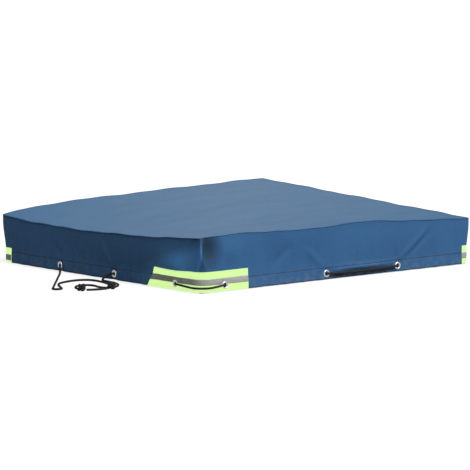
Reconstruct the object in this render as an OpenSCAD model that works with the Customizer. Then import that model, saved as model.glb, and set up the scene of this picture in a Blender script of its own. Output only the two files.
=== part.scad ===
// Square wooden sandbox with a fitted fabric cover.
// Millimetres, +Z up, origin on the ground under the middle of the box.

/* [Sandbox] */
// Outer length of each plank wall
frame_len = 1176; // [900:1:1500]
// Thickness of the wall planks
plank_t = 20; // [14:1:28]
// Height of one wall plank, two stand on each other
plank_h = 72; // [65:1:110]
// Side of the square corner posts
post_w = 45; // [38:1:58]
// Width of the seat boards
seat_w = 110; // [95:1:150]
// Thickness of the seat boards
seat_t = 18; // [15:1:26]
// Bevel on the long edges of planks and seats
edge_bevel = 2.5; // [1:0.5:3]
// Thickness of the seat brackets
bracket_t = 20; // [15:1:30]
// Height of the seat brackets
bracket_h = 105; // [85:1:125]
// Thickness of the ground liner
liner_t = 1.2; // [0.8:0.1:2]

/* [Screws] */
// Diameter of the screw shanks
screw_d = 4.5; // [3.5:0.5:5]
// Diameter of the screw heads
head_d = 9; // [8:0.5:11]
// Height of the screw heads
head_h = 3; // [2:0.5:4]
// Length of the screws under the head
screw_len = 38; // [30:1:42]

/* [Cover] */
// Slack between the box and the inside of the hem
cover_slack = 1.4; // [1:0.1:4]
// Thickness of the cover fabric
fabric_t = 1.5; // [1:0.1:2]
// Width of the drawstring channel
channel_w = 13.4; // [13:0.1:16]
// Height of the hem channel
hem_h = 42; // [34:1:48]
// Height of the hem above the ground
hem_lift = 2; // [1:1:10]
// Rise of the cover at the front left corner
rise_n = 24; // [5:1:35]
// Rise of the cover at the front right corner
rise_r = 12; // [5:1:35]
// Rise of the cover at the back right corner
rise_b = 50; // [5:1:60]
// Rise of the cover at the back left corner
rise_l = 14; // [0:1:25]
// Crown in the middle of the cover
crown = 8; // [2:1:20]

/* [Corner patches] */
// Height of the corner patches
patch_h = 72; // [62:1:85]
// Thickness of the corner patches
patch_t = 1; // [0.6:0.1:1.5]
// Height of the reflective stripe
stripe_h = 21; // [12:1:26]
// Thickness of the reflective stripe
stripe_t = 0.6; // [0.4:0.1:1]

/* [Eyelets] */
// Inner radius of the eyelets
eyelet_r = 8; // [7.5:0.1:8.5]
// Radius of the eyelet flange
flange_r = 13; // [11.5:0.5:14]
// Thickness of the eyelet flange
flange_t = 1.2; // [0.8:0.1:1.4]
// Wall of the eyelet barrel
barrel_t = 0.8; // [0.5:0.1:1]
// Thickness of the backing washers
washer_t = 1; // [0.6:0.1:1]

/* [Drawstring] */
// Diameter of the drawstring
cord_d = 8; // [6:0.5:8]
// Radius of the knot that joins both ends
knot_r = 18; // [17:0.5:18]
// Radius of the knot at the end of the tails
tail_knot_r = 16; // [15:0.5:16]

/* [Hidden] */

// Clearances
fit = 0.2;
screw_fit = 0.1;
seat_gap = 0.3;

// Levels of the box
fh = frame_len / 2;
wall_h = 2 * plank_h;
frame_h = wall_h + seat_t;
inner = fh - plank_t;
post_in = inner - post_w;
seat_in = fh - seat_w;
bracket_d = inner - seat_in - 10;

// Layers of the cover, as distances from the middle
hem_in = fh + cover_slack;
lining_t = 1;
ch_in = hem_in + lining_t;
ch_out = ch_in + channel_w;
ch = ch_out + fabric_t;
patch_out = ch + patch_t;
stripe_out = patch_out + stripe_t;
hem_top = hem_lift + hem_h;
edge_drop = 1;
top_base = frame_h + seat_gap + fabric_t - edge_drop;
eyelet_z = hem_lift + 22;
washer_in = ch_out - washer_t;
barrel_r = eyelet_r + barrel_t;
hole_r = barrel_r + fit;
stripe_z = hem_lift + 26;

// Depth of the drawstring inside the channel and outside the eyelets
cord_in = washer_in - 0.5 - cord_d / 2;
cord_out = patch_out + flange_t + 0.3 + cord_d / 2;
cord_mid = (cord_in + cord_out) / 2;
cord_bow = cord_out + 3.5;
turn_r = 16;
turn_z = eyelet_z - 4;

// Length of each corner patch along its own face and round the corner.
// Faces: 0 front, 1 right, 2 back, 3 left. Corner i starts face i.
patch_a = [203, 475, 243, 50];
patch_b = [303, 30, 260, 450];

// Eyelets of each face: a distance, and where it is counted from:
// 0 the start of the face, 1 its middle, 2 its end. Those from an end sit on a patch.
eyelets = [
    [[102, 0], [-55, 1], [271, 1]],
    [[103, 0], [343, 0], [-40, 1], [240, 1], [113, 2]],
    [[113, 0], [-190, 1], [60, 1], [323, 2], [83, 2]],
    [[-241, 1], [96, 1], [144, 2]]];
function eyelet_s(f, i) =
    let (e = eyelets[f][i])
    e[1] == 0 ? e[0] - ch : e[1] == 2 ? ch - e[0] : e[0];
function on_patch(f, i) = eyelets[f][i][1] != 1;

// Both free ends and both tails of the drawstring, lying on the ground, for a
// cover whose side is cord_ref from the middle; they move out with the cover
cord_ref = 605.3;
end_a = [[-615, 228, 23], [-622, 218, 19], [-630, 206, 13], [-639, 193, 7.5],
    [-649, 179, 4.8], [-661, 163, 4.2], [-690, 125, 4.2], [-720, 87, 4.2], [-750, 48, 4.2],
    [-780, 9, 4.2], [-810, -29, 4.2], [-840, -68, 4.2], [-870, -107, 4.2], [-892, -135, 4.2],
    [-908, -156, 4.2], [-911, -167, 4.2], [-905, -178, 4.2], [-893, -181, 4.2],
    [-883, -175, 4.2], [-868, -147, 4.2], [-849, -109, 4.2], [-831, -78, 4.2],
    [-806, -52, 4.2], [-774, -36, 4.2], [-738, -27, 4.2], [-706, -30, 4.2],
    [-684, -46, 4.2], [-675, -74, 4.2], [-676, -108, 4.2], [-683, -148, 4.2],
    [-697, -192, 4.2], [-718, -233, 4.2], [-738.1, -263.9, 4.2]];
end_b = [[-616, -84, 22.5], [-626, -78, 17], [-637, -78, 10.5], [-647, -84, 6],
    [-653, -95, 4.3], [-656, -114, 4.2], [-658, -142, 4.2], [-662, -178, 4.2],
    [-674, -215, 4.2], [-698, -248, 4.2], [-731.4, -270.3, 4.2]];
points_ta = [[-756.1, -264, 4.2], [-764, -244, 4.2], [-762, -218, 4.2], [-756, -190, 4.2],
    [-762, -162, 4.2], [-788, -150, 4.2], [-818, -166, 4.2], [-838, -196, 4.2],
    [-846, -220, 4.2], [-848.8, -236.2, 4.2]];
points_tb = [[-765.4, -280, 4.2], [-788, -280, 4.2], [-812, -275, 4.2], [-838.8, -260.2, 4.2]];
knot_at = [-747, -280, 0.2];
tail_knot_at = [-853, -252, 0.2];
knot_h = 28;
function beside(p) = p + [cord_ref - ch, 0, 0];
function leaves(i, step) = on_face(3, eyelet_s(3, i) + step, cord_out - 0.6, eyelet_z);
function laid(points) = [for (p = points) beside(p)];

// A point at s along a face, d out from the middle and z up
function on_face(f, s, d, z) =
    f == 0 ? [s, -d, z] :
    f == 1 ? [d, s, z] :
    f == 2 ? [-s, d, z] : [-d, -s, z];

// Share of the left side at which the cover rests on the seat
rest_v = 0.64;
// Height of the outside of the cover above where it rests
function rise(x, y) =
    let (u = (x + ch) / (2 * ch))
    let (v = (y + ch) / (2 * ch))
    let (left = rise_n * pow(max(0, 1 - v / rest_v), 2)
        + rise_l * pow(max(0, (v - rest_v) / (1 - rest_v)), 2))
    let (right = rise_r + (rise_b - rise_r) * v)
    let (front = rise_n - (rise_n - rise_r) * u * u)
    let (back = rise_l + (rise_b - rise_l) * u)
    let (mix = (1 - u) * (1 - v) * rise_n + u * (1 - v) * rise_r + u * v * rise_b
        + (1 - u) * v * rise_l)
    (1 - u) * left + u * right + (1 - v) * front + v * back - mix
    + crown * sin(180 * u) * sin(180 * v);
function top_z(x, y) = top_base + rise(x, y);
function edge_z(f, s) =
    let (p = on_face(f, s, ch, 0))
    top_z(p[0], p[1]);

// Tube of eight sides along a list of points
function unit(v) = v / norm(v);
function heading(p, i) =
    i == 0 ? unit(p[1] - p[0]) :
    i == len(p) - 1 ? unit(p[i] - p[i - 1]) :
    unit(unit(p[i + 1] - p[i]) + unit(p[i] - p[i - 1]));
function ring(p, i, r) =
    let (t = heading(p, i))
    let (a = unit(cross(t, [0, 0, 1])))
    let (b = cross(a, t))
    [for (k = [0:7]) p[i] + r * (a * cos(45 * k + 22.5) + b * sin(45 * k + 22.5))];
module tube(p, r) {
    n = len(p);
    rings = [for (i = [0:n - 1]) each ring(p, i, r)];
    walls = [for (i = [0:n - 2]) for (k = [0:7])
        each [[i * 8 + k, i * 8 + (k + 1) % 8, i * 8 + 8 + (k + 1) % 8],
              [i * 8 + k, i * 8 + 8 + (k + 1) % 8, i * 8 + 8 + k]]];
    start = [[for (k = [7:-1:0]) k]];
    stop = [[for (k = [0:7]) (n - 1) * 8 + k]];
    polyhedron(rings, concat(walls, start, stop));
}

// The drawstring's route: it runs clockwise, in and out of the eyelets
function cross_out(f, i) =
    let (s = eyelet_s(f, i))
    [on_face(f, s + 12, cord_in, eyelet_z), on_face(f, s + 5, cord_in + 1, eyelet_z),
     on_face(f, s, cord_mid, eyelet_z),
     on_face(f, s - 5, cord_out - 0.6, eyelet_z), on_face(f, s - 12, cord_out, eyelet_z)];
function cross_in(f, i) =
    let (s = eyelet_s(f, i))
    [on_face(f, s + 12, cord_out, eyelet_z), on_face(f, s + 5, cord_out - 0.6, eyelet_z),
     on_face(f, s, cord_mid, eyelet_z),
     on_face(f, s - 5, cord_in + 1, eyelet_z), on_face(f, s - 12, cord_in, eyelet_z)];
// Quarter turn from the end of face f - 1 to the start of face f, run backwards
function turn(f, d, z) = [for (a = [0:30:90])
    on_face(f, -(d - turn_r) - turn_r * sin(a), d - turn_r + turn_r * cos(a), z)];
function sag(f, i, j) =
    [on_face(f, (eyelet_s(f, i) + eyelet_s(f, j)) / 2, cord_out + 0.8, eyelet_z - 3)];
route = concat(
    [on_face(3, eyelet_s(3, 0) + 2.5, (cord_mid + cord_out - 0.6) / 2, eyelet_z)],
    [for (i = [2:4]) cross_in(3, 0)[i]],
    turn(3, cord_in, eyelet_z),
    cross_out(2, 4), sag(2, 4, 3), cross_in(2, 3),
    cross_out(2, 2), sag(2, 2, 1), cross_in(2, 1),
    cross_out(2, 0), turn(2, cord_bow, turn_z), cross_in(1, 4),
    cross_out(1, 3), sag(1, 3, 2), cross_in(1, 2),
    cross_out(1, 1), sag(1, 1, 0), cross_in(1, 0),
    turn(1, cord_in, eyelet_z),
    cross_out(0, 2), sag(0, 2, 1), cross_in(0, 1),
    cross_out(0, 0), turn(0, cord_bow, turn_z), cross_in(3, 2),
    [for (i = [0:2]) cross_out(3, 1)[i]],
    [on_face(3, eyelet_s(3, 1) - 2.5, (cord_mid + cord_out - 0.6) / 2, eyelet_z)]);

// Colours
wood = [0.80, 0.62, 0.40];
wood_pale = [0.84, 0.68, 0.47];
steel = [0.70, 0.71, 0.73];
cloth_top = [0.36, 0.51, 0.64];
cloth_side = [0.22, 0.38, 0.55];
cloth_dark = [0.15, 0.25, 0.39];
neon = [0.75, 1.0, 0.45];
silver = [0.56, 0.55, 0.52];
black = [0.06, 0.06, 0.07];

// Screw places: along a wall plank, at a post, and in a seat board
wall_screw_s = inner - post_w / 2;
wall_screw_z = [plank_h * 0.2, plank_h * 0.55];
side_offset = 9;
seat_screw_d = fh - plank_t - post_w * 0.22;
seat_screw_s = fh - plank_t - post_w * 0.72;
bracket_screw_d = seat_in + bracket_d * 0.5 + 12;

// A board with beveled long edges: profile in y and z, extruded along x
module board(len_x, y0, y1, z0, z1) {
    c = min(edge_bevel, (y1 - y0) / 4);
    translate([-len_x / 2, 0, 0]) rotate([90, 0, 90]) linear_extrude(len_x)
        polygon([[y0 + c, z0], [y1 - c, z0], [y1, z0 + c], [y1, z1 - c],
            [y1 - c, z1], [y0 + c, z1], [y0, z1 - c], [y0, z0 + c]]);
}
// Shank and head of a screw, head up, with the head's underside at z = 0
module screw(extra) {
    translate([0, 0, -screw_len - extra])
        cylinder(r = screw_d / 2 + extra, h = screw_len + extra, $fn = 24);
    cylinder(r = head_d / 2 + extra, h = head_h + 10 * extra, $fn = 24);
}
// Every wall screw of face f between two levels
module wall_screw_row(f, z0, extra) {
    side = f % 2 == 0 ? wall_screw_s + side_offset : wall_screw_s - side_offset;
    rotate([0, 0, 90 * f]) for (s = [-side, side]) for (z = wall_screw_z)
        translate([s, -fh + head_h, z0 + z]) rotate([90, 0, 0]) screw(extra);
}
// Every seat screw of face f
module seat_screw_row(f, extra) {
    rotate([0, 0, 90 * f]) {
        for (s = [-seat_screw_s, seat_screw_s])
            translate([s, -seat_screw_d, frame_h - head_h]) screw(extra);
        translate([0, -bracket_screw_d, frame_h - head_h]) screw(extra);
    }
}
module plank(f, z0) {
    full = f % 2 == 0 ? frame_len : 2 * inner;
    difference() {
        rotate([0, 0, 90 * f]) board(full, -fh, -inner, z0, z0 + plank_h);
        wall_screw_row(f, z0, screw_fit);
    }
}
module post(i) {
    sx = (i == 0 || i == 3) ? -1 : 1;
    sy = (i == 0 || i == 1) ? -1 : 1;
    difference() {
        translate([sx > 0 ? post_in : -inner, sy > 0 ? post_in : -inner, 0])
            cube([post_w, post_w, wall_h]);
        for (f = [0:3]) for (z0 = [0, plank_h]) wall_screw_row(f, z0, screw_fit);
        for (f = [0:3]) seat_screw_row(f, screw_fit);
    }
}
module seat(f) {
    difference() {
        intersection() {
            rotate([0, 0, 90 * f]) board(frame_len, -fh, -seat_in, wall_h, frame_h);
            rotate([0, 0, 90 * f]) translate([0, 0, wall_h - 1]) linear_extrude(seat_t + 2)
                polygon([[-fh + fit, -fh], [fh - fit, -fh],
                    [seat_in - fit, -seat_in], [-seat_in + fit, -seat_in]]);
        }
        seat_screw_row(f, screw_fit);
    }
}
module bracket(f) {
    difference() {
        rotate([0, 0, 90 * f]) translate([-bracket_t / 2, 0, 0]) rotate([90, 0, 90])
            linear_extrude(bracket_t)
            polygon([[-inner, wall_h - bracket_h], [-inner + 18, wall_h - bracket_h],
                [-inner + bracket_d, wall_h - 22], [-inner + bracket_d, wall_h], [-inner, wall_h]]);
        seat_screw_row(f, screw_fit);
    }
}
module liner() {
    e = inner - 0.5;
    q = post_in - 0.5;
    linear_extrude(liner_t) polygon([[-q, -e], [q, -e], [q, -q], [e, -q], [e, q], [q, q],
        [q, e], [-q, e], [-q, q], [-e, q], [-e, -q], [-q, -q]]);
}

// The top panel: a grid of points above a second grid one fabric thickness lower
module top_panel() {
    n = 14;
    m = n + 1;
    up = [for (j = [0:n]) for (i = [0:n])
        let (x = -ch + 2 * ch * i / n)
        let (y = -ch + 2 * ch * j / n)
        [x, y, top_z(x, y)]];
    down = [for (p = up) [p[0], p[1], p[2] - fabric_t]];
    k = len(up);
    above = [for (j = [0:n - 1]) for (i = [0:n - 1]) let (a = j * m + i)
        each [[a, a + m, a + m + 1], [a, a + m + 1, a + 1]]];
    below = [for (t = above) [t[2] + k, t[1] + k, t[0] + k]];
    rim = concat([for (i = [0:n - 1]) i], [for (j = [0:n - 1]) j * m + n],
        [for (i = [n:-1:1]) n * m + i], [for (j = [n:-1:1]) j * m]);
    r = len(rim);
    edge = [for (i = [0:r - 1]) let (a = rim[i]) let (b = rim[(i + 1) % r])
        each [[a, b, b + k], [a, b + k, a + k]]];
    polyhedron(concat(up, down), concat(above, below, edge));
}
module skirt(f) {
    half = f % 2 == 0 ? ch : ch_out - fit;
    n = 14;
    rotate([0, 0, 90 * f]) translate([0, -ch_out, 0]) rotate([90, 0, 0]) linear_extrude(fabric_t)
        polygon(concat([[-half, hem_top + fit], [half, hem_top + fit]],
            [for (i = [n:-1:0]) let (s = -half + 2 * half * i / n)
                [s, edge_z(f, s) - fabric_t - fit]]));
}
module eyelet_holes(f, r) {
    rotate([0, 0, 90 * f]) for (i = [0:len(eyelets[f]) - 1])
        translate([eyelet_s(f, i), -washer_in + 1, eyelet_z]) rotate([90, 0, 0])
            cylinder(r = r, h = 12, $fn = 32);
}
module hem(f) {
    difference() {
        rotate([0, 0, 90 * f]) intersection() {
            difference() {
                translate([-ch, -ch, hem_lift]) cube([2 * ch, ch - hem_in, hem_h]);
                translate([-ch - 1, -ch_out, hem_lift + fabric_t])
                    cube([2 * ch + 2, channel_w, hem_h - 2 * fabric_t]);
            }
            translate([0, 0, hem_lift - 1]) linear_extrude(hem_h + 2)
                polygon([[-ch + fit, -ch], [ch - fit, -ch],
                    [hem_in - fit, -hem_in], [-hem_in + fit, -hem_in]]);
        }
        eyelet_holes(f, hole_r);
    }
}
// A flat band round corner i, between two distances from the middle
module corner_band(i, d0, d1, z0, h) {
    rotate([0, 0, 90 * i]) translate([0, 0, z0]) linear_extrude(h)
        polygon([[-d1, -d1], [-ch + patch_a[i], -d1], [-ch + patch_a[i], -d0],
            [-d0, -d0], [-d0, -ch + patch_b[i]], [-d1, -ch + patch_b[i]]]);
}
module patch(i) {
    difference() {
        corner_band(i, ch, patch_out, hem_lift, patch_h);
        eyelet_holes(i, hole_r);
        eyelet_holes((i + 3) % 4, hole_r);
    }
}
module stripe(i) {
    difference() {
        corner_band(i, patch_out, stripe_out, stripe_z, stripe_h);
        eyelet_holes(i, flange_r + fit);
        eyelet_holes((i + 3) % 4, flange_r + fit);
    }
}
// Flange and barrel of each eyelet on face f
module eyelet_row(f) {
    rotate([0, 0, 90 * f]) for (i = [0:len(eyelets[f]) - 1]) {
        base = on_patch(f, i) ? patch_out : ch;
        translate([eyelet_s(f, i), -base, eyelet_z]) rotate([90, 0, 0]) difference() {
            union() {
                cylinder(r = flange_r, h = flange_t, $fn = 48);
                translate([0, 0, -(base - washer_in)])
                    cylinder(r = barrel_r, h = base - washer_in, $fn = 48);
            }
            translate([0, 0, -20]) cylinder(r = eyelet_r, h = 40, $fn = 48);
        }
    }
}
module washer_row(f) {
    rotate([0, 0, 90 * f]) for (i = [0:len(eyelets[f]) - 1])
        translate([eyelet_s(f, i), -washer_in, eyelet_z]) rotate([90, 0, 0]) difference() {
            cylinder(r = flange_r - 1, h = washer_t, $fn = 48);
            translate([0, 0, -1]) cylinder(r = barrel_r + screw_fit, h = washer_t + 2, $fn = 48);
        }
}
module knot(p, r) {
    c = 3;
    translate(p) rotate_extrude($fn = 48)
        polygon([[0, 0], [r - c, 0], [r, c - 1.5], [r, knot_h - c], [r - c, knot_h], [0, knot_h]]);
}

module front_lower_plank() { color(wood) plank(0, 0); }
module front_upper_plank() { color(wood_pale) plank(0, plank_h); }
module right_lower_plank() { color(wood_pale) plank(1, 0); }
module right_upper_plank() { color(wood) plank(1, plank_h); }
module back_lower_plank() { color(wood) plank(2, 0); }
module back_upper_plank() { color(wood_pale) plank(2, plank_h); }
module left_lower_plank() { color(wood_pale) plank(3, 0); }
module left_upper_plank() { color(wood) plank(3, plank_h); }
module front_left_post() { color(wood_pale) post(0); }
module front_right_post() { color(wood_pale) post(1); }
module back_right_post() { color(wood_pale) post(2); }
module back_left_post() { color(wood_pale) post(3); }
module front_seat() { color(wood) seat(0); }
module right_seat() { color(wood) seat(1); }
module back_seat() { color(wood) seat(2); }
module left_seat() { color(wood) seat(3); }
module front_bracket() { color(wood_pale) bracket(0); }
module right_bracket() { color(wood_pale) bracket(1); }
module back_bracket() { color(wood_pale) bracket(2); }
module left_bracket() { color(wood_pale) bracket(3); }
module wall_screws() { color(steel) for (f = [0:3]) for (z0 = [0, plank_h]) wall_screw_row(f, z0, 0); }
module seat_screws() { color(steel) for (f = [0:3]) seat_screw_row(f, 0); }
module ground_liner() { color(black) liner(); }
module cover_top() { color(cloth_top) top_panel(); }
module front_skirt() { color(cloth_side) skirt(0); }
module right_skirt() { color(cloth_side) skirt(1); }
module back_skirt() { color(cloth_side) skirt(2); }
module left_skirt() { color(cloth_dark) skirt(3); }
module front_hem() { color(cloth_side) hem(0); }
module right_hem() { color(cloth_side) hem(1); }
module back_hem() { color(cloth_side) hem(2); }
module left_hem() { color(cloth_dark) hem(3); }
module front_left_patch() { color(neon) patch(0); }
module front_right_patch() { color(neon) patch(1); }
module back_right_patch() { color(neon) patch(2); }
module back_left_patch() { color(neon) patch(3); }
module front_left_stripe() { color(silver) stripe(0); }
module front_right_stripe() { color(silver) stripe(1); }
module back_right_stripe() { color(silver) stripe(2); }
module back_left_stripe() { color(silver) stripe(3); }
module front_eyelets() { color(steel) eyelet_row(0); }
module right_eyelets() { color(steel) eyelet_row(1); }
module back_eyelets() { color(steel) eyelet_row(2); }
module left_eyelets() { color(steel) eyelet_row(3); }
module front_washers() { color(steel) washer_row(0); }
module right_washers() { color(steel) washer_row(1); }
module back_washers() { color(steel) washer_row(2); }
module left_washers() { color(steel) washer_row(3); }
module drawstring() { color(black) tube(route, cord_d / 2); }
module cord_end_a() { color(black) tube(concat([route[0], leaves(0, 5)], laid(end_a)), cord_d / 2); }
module cord_end_b() {
    color(black) tube(concat([route[len(route) - 1], leaves(1, -5)], laid(end_b)), cord_d / 2);
}
module joining_knot() { color(black) knot(beside(knot_at), knot_r); }
module tail_a() { color(black) tube(laid(points_ta), cord_d / 2); }
module tail_b() { color(black) tube(laid(points_tb), cord_d / 2); }
module tail_knot() { color(black) knot(beside(tail_knot_at), tail_knot_r); }

front_lower_plank();
front_upper_plank();
right_lower_plank();
right_upper_plank();
back_lower_plank();
back_upper_plank();
left_lower_plank();
left_upper_plank();
front_left_post();
front_right_post();
back_right_post();
back_left_post();
front_seat();
right_seat();
back_seat();
left_seat();
front_bracket();
right_bracket();
back_bracket();
left_bracket();
wall_screws();
seat_screws();
ground_liner();
cover_top();
front_skirt();
right_skirt();
back_skirt();
left_skirt();
front_hem();
right_hem();
back_hem();
left_hem();
front_left_patch();
front_right_patch();
back_right_patch();
back_left_patch();
front_left_stripe();
front_right_stripe();
back_right_stripe();
back_left_stripe();
front_eyelets();
right_eyelets();
back_eyelets();
left_eyelets();
front_washers();
right_washers();
back_washers();
left_washers();
drawstring();
cord_end_a();
cord_end_b();
joining_knot();
tail_a();
tail_b();
tail_knot();
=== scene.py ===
# %% [markdown]
# # A wooden sandbox under its fitted cover
# A sandbox cover is a shallow square hood of coated cloth. A cord runs in its hem, comes out
# through eyelets and is pulled tight at one side. We load the measured model first, then put
# cloth, tape, eyelets and cord exactly where it says they are.

# %% Load the measured model
import math

import bmesh
import bpy
from mathutils import Matrix, Vector


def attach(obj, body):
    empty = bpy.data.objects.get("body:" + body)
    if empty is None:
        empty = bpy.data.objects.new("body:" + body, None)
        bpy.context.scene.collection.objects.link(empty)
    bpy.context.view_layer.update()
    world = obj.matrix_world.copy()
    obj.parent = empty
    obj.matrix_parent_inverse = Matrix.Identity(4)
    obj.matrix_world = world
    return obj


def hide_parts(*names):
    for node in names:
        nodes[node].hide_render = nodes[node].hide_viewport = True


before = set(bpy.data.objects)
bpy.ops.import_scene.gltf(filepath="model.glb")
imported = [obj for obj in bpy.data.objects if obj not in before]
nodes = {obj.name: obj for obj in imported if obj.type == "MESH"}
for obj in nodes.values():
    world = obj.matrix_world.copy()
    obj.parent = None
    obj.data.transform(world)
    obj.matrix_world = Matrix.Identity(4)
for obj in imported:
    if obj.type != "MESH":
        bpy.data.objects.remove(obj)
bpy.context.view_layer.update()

# %% [markdown]
# ## Camera
# We look from far away through a long lens, so the edges stay almost parallel. The camera's
# axes are built from a heading, a small downward tilt and a slight roll.

# %% Place the camera
heading = math.radians(52.66)
tilt = math.radians(6.63)
roll = math.radians(-0.75)
flat = math.cos(tilt)
forward = Vector((flat * math.cos(heading), flat * math.sin(heading), -math.sin(tilt)))
level_right = Vector((math.sin(heading), -math.cos(heading), 0))
level_up = level_right.cross(forward)
right = level_right * math.cos(roll) + level_up * math.sin(roll)
up = level_up * math.cos(roll) - level_right * math.sin(roll)
camera_data = bpy.data.cameras.new("camera")
camera_data.lens = 245.1
camera_data.sensor_width = 36
camera_data.clip_end = 300
camera = bpy.data.objects.new("camera", camera_data)
turn = Matrix((right, up, -forward)).transposed().to_4x4()
camera.matrix_world = Matrix.Translation((-7.051, -9.25, 1.456)) @ turn
bpy.context.scene.collection.objects.link(camera)
bpy.context.scene.camera = camera

# %% [markdown]
# ## Measures of the cover
# The same sizes as the model, in metres. A face is numbered from the front: 0 front, 1 right,
# 2 back, 3 left. Along each face we count from its middle, s, and outward from the middle of
# the box, d. Each eyelet is written as its place s, and 1 if it sits on tape, else 0.

# %% Sizes and places
MM = 0.001
SIDE = 0.6053
HEM_LOW = 0.0015
HEM_TOP = 0.044
EYELET_Z = 0.024
CORD_D = 0.008
CORD_IN = 0.5983
CORD_OUT = 0.6118
CORD_BOW = 0.6153
TURN_Z = 0.020
CORD_MID = (CORD_IN + CORD_OUT) / 2
CORD_TURN = 0.016
LOOSE_CORNER = 0.045
EYELETS = [
    [(-0.5033, 1), (-0.055, 0), (0.271, 0)],
    [(-0.5023, 1), (-0.2623, 1), (-0.040, 0), (0.240, 0), (0.4923, 1)],
    [(-0.4923, 1), (-0.190, 0), (0.060, 0), (0.2823, 1), (0.5223, 1)],
    [(-0.241, 0), (0.096, 0), (0.4613, 1)],
]
FACES = ["front", "right", "back", "left"]
CORNERS = ["front_left", "front_right", "back_right", "back_left"]


def on_face(f, s, d, z):
    """The point s along face f, d out from the middle and z up."""
    return Vector([(s, -d, z), (d, s, z), (-s, d, z), (-d, -s, z)][f])


def clamp(x):
    return max(0.0, min(1.0, x))


def smooth_step(x):
    x = clamp(x)
    return x * x * (3 - 2 * x)


# %% [markdown]
# ## The drawstring's route
# The cord is one length. It runs inside the hem, out through an eyelet, along the outside and
# back in. Both ends leave the cover on the left side and lie on the ground, where they are
# tied together. We write down the points that it passes and draw one smooth curve through them.

# %% A smooth curve through points
def smooth_path(points, pieces=6):
    """Cubic pieces through the points, whose tangents never outrun a short neighbour."""
    pts = [Vector(p) for p in points]
    n = len(pts)
    steps = [(pts[i + 1] - pts[i]) for i in range(n - 1)]
    aims = []
    for i in range(n):
        a = steps[max(i - 1, 0)].normalized()
        b = steps[min(i, n - 2)].normalized()
        aims.append((a + b).normalized())
    path = []
    for i, step in enumerate(steps):
        size = step.length
        before = steps[max(i - 1, 0)].length
        after = steps[min(i + 1, n - 2)].length
        m0 = aims[i] * min(size, 2 * before)
        m1 = aims[i + 1] * min(size, 2 * after)
        for k in range(pieces):
            t = k / pieces
            h = (2 * t**3 - 3 * t * t + 1, t**3 - 2 * t * t + t, 3 * t * t - 2 * t**3, t**3 - t * t)
            path.append(h[0] * pts[i] + h[1] * m0 + h[2] * pts[i + 1] + h[3] * m1)
    path.append(pts[-1])
    return path


def path_length(path):
    return sum((path[i + 1] - path[i]).length for i in range(len(path) - 1))


# %% The part of the cord that the cover holds
def crossing(f, k, way):
    """Five points through eyelet k: way is 1 from inside to outside, -1 back in."""
    s = EYELETS[f][k][0]
    marks = [(12, CORD_IN), (5, CORD_IN + 0.001), (0, CORD_MID)]
    marks += [(-5, CORD_OUT - 0.0006), (-12, CORD_OUT)]
    if way < 0:
        marks = [(-a, d) for a, d in marks[::-1]]
    return [on_face(f, s + a * MM, d, EYELET_Z) for a, d in marks]


def corner_turn(f, d, z, r=CORD_TURN):
    """Four points round the corner from face f to the face before it."""
    out = []
    for a in (0, 30, 60, 90):
        c, w = math.cos(math.radians(a)), math.sin(math.radians(a))
        out.append(on_face(f, -(d - r) - r * w, d - r + r * c, z))
    return out


def outside(f, k):
    """The sagging stretch outside, between eyelets k and k + 1."""
    middle = (EYELETS[f][k][0] + EYELETS[f][k + 1][0]) / 2
    return [on_face(f, middle, CORD_OUT + 0.0008, EYELET_Z - 0.003)]


half_out = (CORD_MID + CORD_OUT - 0.0006) / 2
first = on_face(3, EYELETS[3][0][0] + 0.0025, half_out, EYELET_Z)
last = on_face(3, EYELETS[3][1][0] - 0.0025, half_out, EYELET_Z)
held = [first] + crossing(3, 0, -1)[2:]
held += corner_turn(3, CORD_IN, EYELET_Z)
held += crossing(2, 4, 1) + outside(2, 3) + crossing(2, 3, -1)
held += crossing(2, 2, 1) + outside(2, 1) + crossing(2, 1, -1)
held += crossing(2, 0, 1) + corner_turn(2, CORD_BOW, TURN_Z) + crossing(1, 4, -1)
held += crossing(1, 3, 1) + outside(1, 2) + crossing(1, 2, -1)
held += crossing(1, 1, 1) + outside(1, 0) + crossing(1, 0, -1)
held += corner_turn(1, CORD_IN, EYELET_Z)
held += crossing(0, 2, 1) + outside(0, 1) + crossing(0, 1, -1)
held += crossing(0, 0, 1) + corner_turn(0, CORD_BOW, TURN_Z, LOOSE_CORNER) + crossing(3, 2, -1)
held += crossing(3, 1, 1)[:3] + [last]

# %% The free ends and the tails, in millimetres
end_a = [
    (-611.2, 236, 24), (-615, 228, 23), (-622, 218, 19), (-630, 206, 13), (-639, 193, 7.5),
    (-649, 179, 4.8), (-661, 163, 4.2), (-690, 125, 4.2), (-720, 87, 4.2), (-750, 48, 4.2),
    (-780, 9, 4.2), (-810, -29, 4.2), (-840, -68, 4.2), (-870, -107, 4.2), (-892, -135, 4.2),
    (-908, -156, 4.2), (-911, -167, 4.2), (-905, -178, 4.2), (-893, -181, 4.2), (-883, -175, 4.2),
    (-868, -147, 4.2), (-849, -109, 4.2), (-831, -78, 4.2), (-806, -52, 4.2), (-774, -36, 4.2),
    (-738, -27, 4.2), (-706, -30, 4.2), (-684, -46, 4.2), (-675, -74, 4.2), (-676, -108, 4.2),
    (-683, -148, 4.2), (-697, -192, 4.2), (-718, -233, 4.2), (-738.1, -263.9, 4.2),
]
end_b = [
    (-611.2, -91, 24), (-616, -84, 22.5), (-626, -78, 17), (-637, -78, 10.5), (-647, -84, 6),
    (-653, -95, 4.3), (-656, -114, 4.2), (-658, -142, 4.2), (-662, -178, 4.2), (-674, -215, 4.2),
    (-698, -248, 4.2), (-731.4, -270.3, 4.2),
]
tail_a = [
    (-756.1, -264, 4.2), (-764, -244, 4.2), (-762, -218, 4.2), (-756, -190, 4.2), (-762, -162, 4.2),
    (-788, -150, 4.2), (-818, -166, 4.2), (-838, -196, 4.2), (-846, -220, 4.2),
    (-848.8, -236.2, 4.2),
]
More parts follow.
